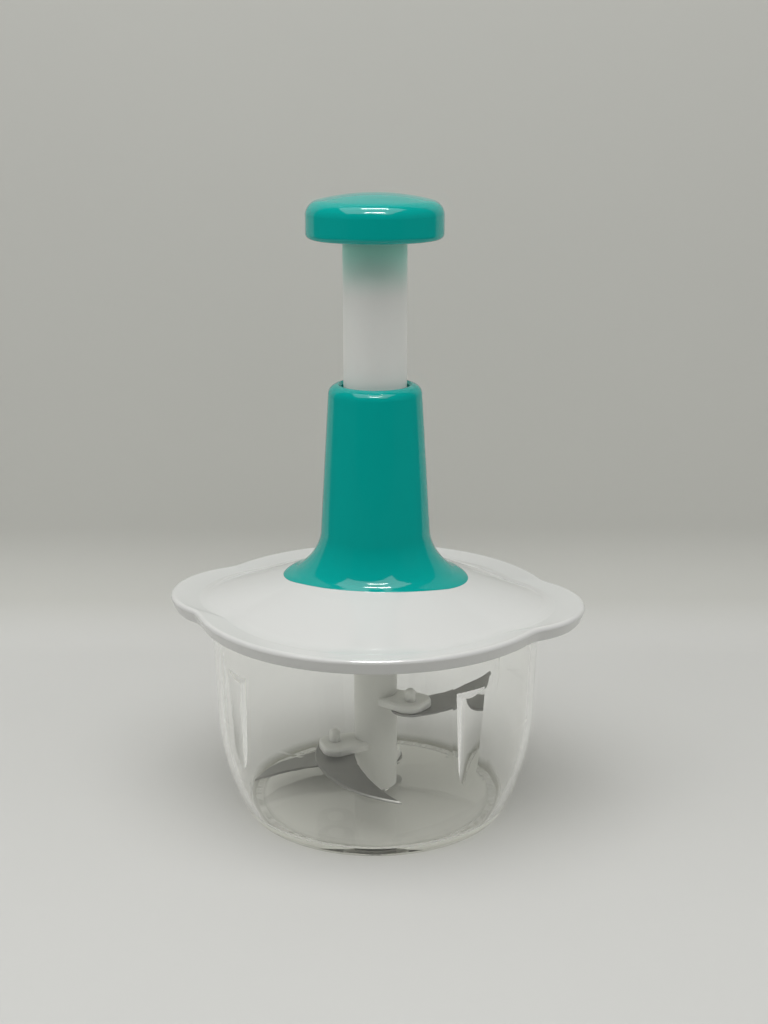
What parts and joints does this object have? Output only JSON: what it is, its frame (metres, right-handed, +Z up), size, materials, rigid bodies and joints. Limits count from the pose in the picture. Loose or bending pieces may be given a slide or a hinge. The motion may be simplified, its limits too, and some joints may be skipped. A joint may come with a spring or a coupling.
{
  "type": "plunger food chopper",
  "caption": "Hand food chopper: a pressed knob turns sickle blades on a shaft inside a clear round bowl under an eared white lid with a green grip.",
  "frame": {"origin": "centre of the bowl's foot ring, on the surface that it stands on", "axes": "+Z up along the plunger, X through the lid's two ears"},
  "size_m": [0.1896, 0.1644, 0.28],
  "materials": {
    "clear_bowl": "clear, polished",
    "white_gloss": "gloss",
    "white_satin": "satin",
    "green_gloss": "gloss",
    "grey_acetal": "satin",
    "blade_steel": "brushed",
    "bright_steel": "bright",
    "spring_steel": "bright",
    "seal_rubber": "soft matte"
  },
  "bodies": {
    "bowl_body": {"bowl": "clear_bowl", "bowl_pivot_pin": "bright_steel"},
    "lid_body": {"lid_shell": "white_gloss", "lid_inner_plate": "white_satin", "seal_ring": "seal_rubber", "hub_bush": "grey_acetal", "nut_cap": "white_satin", "handle_shell": "green_gloss", "guide_sleeve": "white_satin", "handle_screws": "bright_steel", "inner_plate_screws": "bright_steel", "return_spring": "spring_steel"},
    "plunger_body": {"plunger_tube": "white_satin", "knob_base": "green_gloss", "knob_cap": "green_gloss", "knob_screws": "bright_steel", "twisted_rod": "bright_steel"},
    "drive_body": {"drive_hub": "white_satin", "drive_nut": "white_satin"},
    "pivot_body": {"pivot_bush": "grey_acetal"},
    "blade_body": {"blade_shaft": "white_satin", "upper_blade": "blade_steel", "middle_blade": "blade_steel", "lower_blade": "blade_steel", "upper_blade_peg": "white_satin", "middle_blade_peg": "white_satin", "lower_blade_peg": "white_satin"}
  },
  "joints": [
    {"name": "lid_lift", "type": "slide", "parent": "bowl_body", "child": "lid_body", "axis": [0, 0, 1], "range_m": [0, 0.11]},
    {"name": "plunger_press", "type": "slide", "parent": "lid_body", "child": "plunger_body", "axis": [0, 0, -1], "range_m": [0, 0.06], "stiffness_N_per_m": 120, "springref_m": -0.06, "deforming": ["return_spring"]},
    {"name": "drive_turn", "type": "hinge", "parent": "lid_body", "child": "drive_body", "pos_m": [0, 0, 0.1], "axis": [0, 0, 1], "range_deg": [-831, 0]},
    {"name": "blade_set_lift", "type": "slide", "parent": "bowl_body", "child": "pivot_body", "axis": [0, 0, 1], "range_m": [0, 0.055]},
    {"name": "blade_turn", "type": "hinge", "parent": "pivot_body", "child": "blade_body", "pos_m": [0, 0, 0.05], "axis": [0, 0, 1], "range_deg": [-831, 0]}
  ],
  "couplings": [
    {"joint": "drive_turn", "follows": "plunger_press", "rad_per_m": -241.66},
    {"joint": "blade_turn", "follows": "plunger_press", "rad_per_m": -241.66},
    {"joint": "blade_set_lift", "follows": "lid_lift", "ratio": 0.5}
  ]
}
